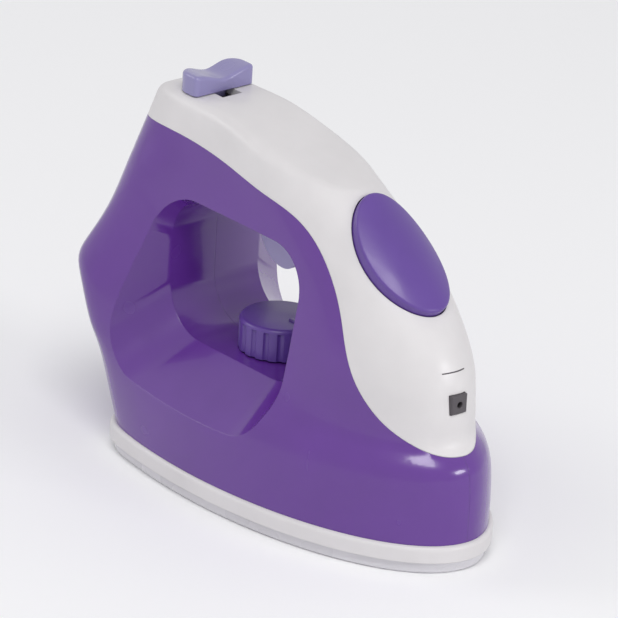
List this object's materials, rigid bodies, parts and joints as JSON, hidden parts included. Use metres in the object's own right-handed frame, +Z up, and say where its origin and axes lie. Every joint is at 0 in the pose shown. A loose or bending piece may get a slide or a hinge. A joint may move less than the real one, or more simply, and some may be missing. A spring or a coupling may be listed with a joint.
{
  "type": "toy iron",
  "caption": "Toy iron with a flat sole, an open hand hole, a press button on the front, a thumb slider, a turning dial and a trigger.",
  "frame": {"origin": "on the sole's underside, under the middle of the outline's length and width", "axes": "+X towards the nose, +Y to port (the left side, seen from behind the heel), +Z up"},
  "size_m": [0.136, 0.067, 0.1045],
  "materials": {
    "purple_plastic": "glossy opaque moulded plastic",
    "white_plastic": "satin moulded plastic",
    "lilac_plastic": "satin moulded plastic",
    "sole_plastic": "smooth light grey plastic",
    "dark_plastic": "matt dark grey plastic",
    "inner_plastic": "plain natural plastic, out of sight",
    "spring_steel": "bright drawn wire and strip",
    "screw_steel": "zinc plated screws"
  },
  "bodies": {
    "housing": {"soleplate": "sole_plastic", "sole_band": "white_plastic", "body_shell_right": "purple_plastic", "body_shell_left": "purple_plastic", "handle_cover": "white_plastic", "button_seat": "inner_plastic", "button_spring": "spring_steel", "spray_nozzle": "dark_plastic", "trigger_pin": "spring_steel", "trigger_spring": "spring_steel", "click_spring": "spring_steel", "body_screws": "screw_steel", "sole_screws": "screw_steel"},
    "button": {"steam_button": "purple_plastic"},
    "slider": {"thumb_slider": "lilac_plastic", "slider_keeper": "inner_plastic", "keeper_screw": "screw_steel", "slider_bow_spring": "spring_steel"},
    "dial": {"thermostat_dial": "purple_plastic", "click_wheel": "inner_plastic", "dial_screw": "screw_steel"},
    "lever": {"trigger": "lilac_plastic"}
  },
  "joints": [
    {"name": "button_press", "type": "slide", "parent": "housing", "child": "button", "axis": [-0.6258, 0, -0.78], "range_m": [0, 0.0026], "stiffness_N_per_m": 300, "springref_m": -0.002, "deforming": ["button_spring"]},
    {"name": "slider_slide", "type": "slide", "parent": "housing", "child": "slider", "axis": [1, 0, 0], "range_m": [0, 0.006]},
    {"name": "dial_turn", "type": "hinge", "parent": "housing", "child": "dial", "pos_m": [-0.011, 0, 0.035], "axis": [0, 0, 1], "range_deg": [-135, 135]},
    {"name": "trigger_pull", "type": "hinge", "parent": "housing", "child": "lever", "pos_m": [0.0095, 0, 0.0798], "axis": [0, 1, 0], "range_deg": [0, 7], "stiffness_Nm_per_rad": 0.02, "springref_deg": -5.73, "deforming": ["trigger_spring"]}
  ]
}
